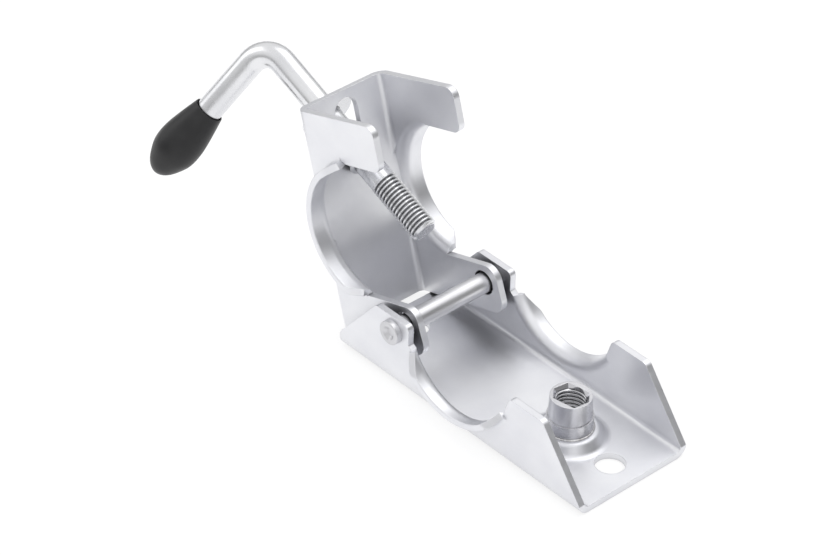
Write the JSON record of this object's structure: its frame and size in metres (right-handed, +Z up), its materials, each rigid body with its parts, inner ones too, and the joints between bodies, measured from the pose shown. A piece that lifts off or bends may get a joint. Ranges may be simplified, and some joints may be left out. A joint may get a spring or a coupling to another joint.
{
  "type": "hinged tube clamp",
  "caption": "Pressed steel split tube clamp: bolt-down channel base, hinged jaw with matching saddle, and a swinging crank screw that threads into a boss on the base.",
  "frame": {"origin": "centre between the two bolt holes, on the underside of the base channel", "axes": "+X along the base from the hinge end to the screw end, +Y along the clamped tube, +Z up out of the base"},
  "size_m": [0.2139, 0.0665, 0.0931],
  "materials": {
    "plated_sheet": "bright zinc plated sheet, satin",
    "plated_boss": "turned steel, zinc plated",
    "weld_metal": "plated weld ring",
    "plated_pin": "zinc plated, peened ends",
    "plated_washer": "zinc plated",
    "plated_rod": "drawn rod, zinc plated",
    "grip_plastic": "black, semi-matt"
  },
  "bodies": {
    "base": {"base_channel": "plated_sheet", "threaded_boss": "plated_boss", "boss_weld": "weld_metal", "hinge_pin": "plated_pin"},
    "jaw": {"jaw_channel": "plated_sheet"},
    "retainer": {"retaining_washer": "plated_washer"},
    "thrust": {"thrust_washer": "plated_washer"},
    "crank": {"crank_screw": "plated_rod", "crank_grip": "grip_plastic"}
  },
  "joints": [
    {"name": "jaw_hinge", "type": "hinge", "parent": "base", "child": "jaw", "pos_m": [-0.0326, 0, 0.0229], "axis": [0, 1, 0], "range_deg": [0, 107.3]},
    {"name": "screw_tilt", "type": "hinge", "parent": "jaw", "child": "retainer", "pos_m": [-0.09654, 0, 0.06761], "axis": [0, -1, 0], "range_deg": [0, 39.9]},
    {"name": "screw_slide", "type": "slide", "parent": "retainer", "child": "thrust", "axis": [0.9232, 0, -0.3843], "range_m": [0, 0.00825]},
    {"name": "crank_spin", "type": "hinge", "parent": "thrust", "child": "crank", "pos_m": [-0.09654, 0, 0.06761], "axis": [0.9232, 0, -0.3843], "continuous": true}
  ],
  "couplings": [
    {"joint": "screw_slide", "follows": "screw_tilt", "m_per_rad": 0.01184}
  ]
}
